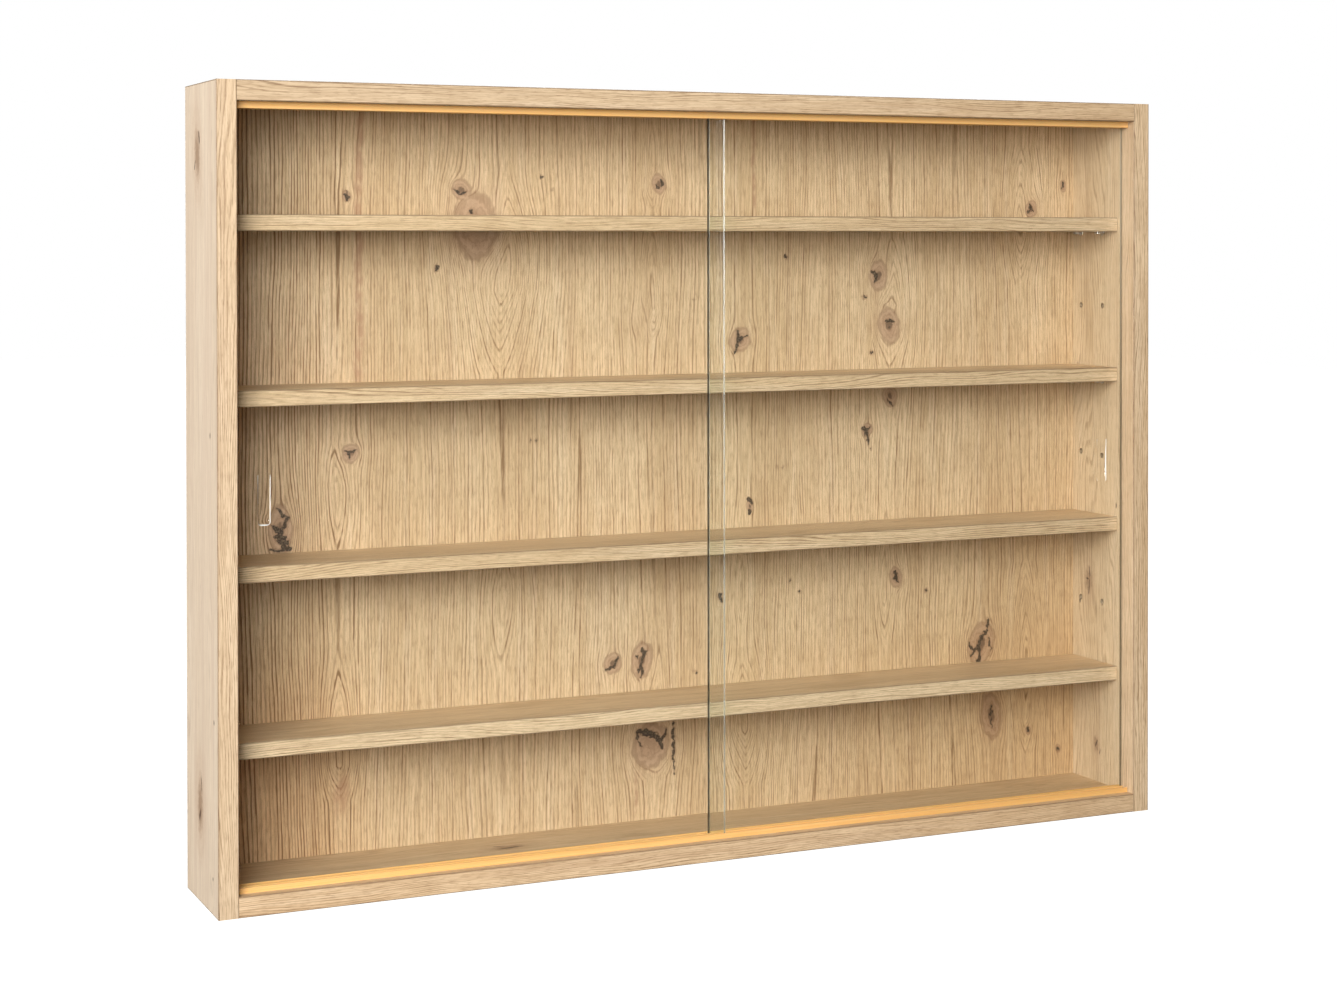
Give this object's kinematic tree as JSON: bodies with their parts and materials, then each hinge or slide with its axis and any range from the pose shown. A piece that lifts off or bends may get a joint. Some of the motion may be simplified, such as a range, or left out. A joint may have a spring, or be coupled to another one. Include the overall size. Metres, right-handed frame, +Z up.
{
  "type": "wall mounted showcase",
  "caption": "Shallow wall mounted display cabinet in knotty oak decor with loose shelves behind two sliding glass doors in plastic tracks.",
  "frame": {"origin": "on the wall plane, midway between the entry holes of the two keyhole hanger plates", "axes": "+X to the right seen from the front, +Y into the wall, +Z up"},
  "size_m": [0.8, 0.096, 0.6],
  "materials": {
    "board_decor": "satin melamine, knotty oak decor",
    "shelf_decor": "satin melamine, oak decor along the board",
    "back_decor": "printed knotty oak on the front, bare brown fibreboard behind",
    "edging_decor": "satin edging strip, oak decor",
    "track_plastic": "satin extruded plastic, honey coloured",
    "glass": "clear float glass, ground edges",
    "steel": "zinc plated",
    "zinc": "bare die-cast zinc",
    "beech": "raw beech"
  },
  "bodies": {
    "cabinet": {"bottom_panel": "board_decor", "top_panel": "board_decor", "left_side_panel": "board_decor", "right_side_panel": "board_decor", "left_side_edging": "edging_decor", "right_side_edging": "edging_decor", "bottom_edging": "edging_decor", "top_edging": "edging_decor", "back_panel": "back_decor", "back_panel_nails": "steel", "top_track": "track_plastic", "bottom_track": "track_plastic", "wooden_dowels": "beech", "cam_bolts": "steel", "cam_locks": "zinc", "left_hanger_plate": "steel", "right_hanger_plate": "steel", "hanger_screws": "steel", "shelf_1_supports": "steel", "shelf_2_supports": "steel", "shelf_3_supports": "steel", "shelf_4_supports": "steel"},
    "left_door": {"left_glass_door": "glass"},
    "right_door": {"right_glass_door": "glass"},
    "shelf_board_1": {"shelf_1": "shelf_decor", "shelf_1_edging": "edging_decor"},
    "shelf_board_2": {"shelf_2": "shelf_decor", "shelf_2_edging": "edging_decor"},
    "shelf_board_3": {"shelf_3": "shelf_decor", "shelf_3_edging": "edging_decor"},
    "shelf_board_4": {"shelf_4": "shelf_decor", "shelf_4_edging": "edging_decor"}
  },
  "joints": [
    {"name": "left_door_slide", "type": "slide", "parent": "cabinet", "child": "left_door", "axis": [1, 0, 0], "range_m": [-0.0009, 0.3785]},
    {"name": "right_door_slide", "type": "slide", "parent": "cabinet", "child": "right_door", "axis": [1, 0, 0], "range_m": [-0.3794, 0]},
    {"name": "shelf_1_lift", "type": "slide", "parent": "cabinet", "child": "shelf_board_1", "axis": [0, 0, 1], "range_m": [0, 0.02]},
    {"name": "shelf_2_lift", "type": "slide", "parent": "cabinet", "child": "shelf_board_2", "axis": [0, 0, 1], "range_m": [0, 0.02]},
    {"name": "shelf_3_lift", "type": "slide", "parent": "cabinet", "child": "shelf_board_3", "axis": [0, 0, 1], "range_m": [0, 0.02]},
    {"name": "shelf_4_lift", "type": "slide", "parent": "cabinet", "child": "shelf_board_4", "axis": [0, 0, 1], "range_m": [0, 0.02]}
  ]
}
